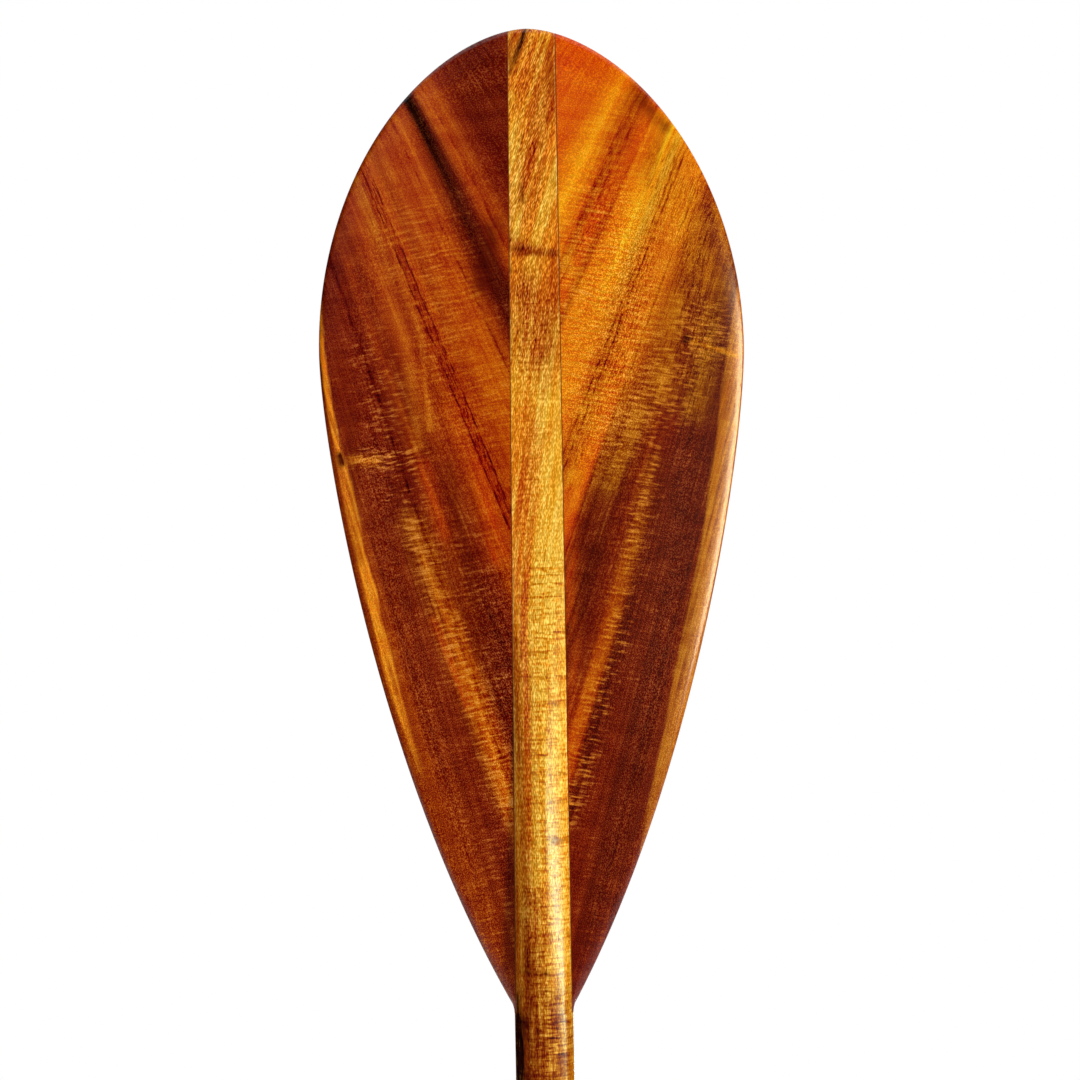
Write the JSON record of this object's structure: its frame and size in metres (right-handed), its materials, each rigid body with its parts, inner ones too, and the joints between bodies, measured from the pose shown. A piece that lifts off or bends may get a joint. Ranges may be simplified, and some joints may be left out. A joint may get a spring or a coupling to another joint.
{
  "type": "outrigger canoe paddle",
  "caption": "Wooden outrigger canoe paddle: leaf-shaped blade of three edge-glued boards, round shaft running up the blade as a rib, and a crosswise grip.",
  "frame": {"origin": "on the shaft's axis at the neck, where the blade's wings run out onto the shaft and a two-peg rack carries the paddle", "axes": "+Z along the shaft to the blade's tip, +X to the right wing, -Y to the viewer of the front face; blade up, as in the picture"},
  "size_m": [0.2326, 0.032, 1.3725],
  "materials": {
    "koa_stave": "golden curly koa, gloss varnish",
    "koa_left_wing": "red-brown curly koa with dark streaks, gloss varnish",
    "koa_right_wing": "orange and red-brown curly koa, gloss varnish",
    "koa_grip": "koa, gloss varnish",
    "cured_glue": "cured wood glue, dark",
    "maple_dowel": "plain turned maple"
  },
  "bodies": {
    "root": {"shaft_spine": "koa_stave", "left_wing": "koa_left_wing", "right_wing": "koa_right_wing", "left_glue_line": "cured_glue", "right_glue_line": "cured_glue", "t_grip": "koa_grip", "grip_dowel": "maple_dowel", "grip_glue_line": "cured_glue"}
  },
  "joints": []
}
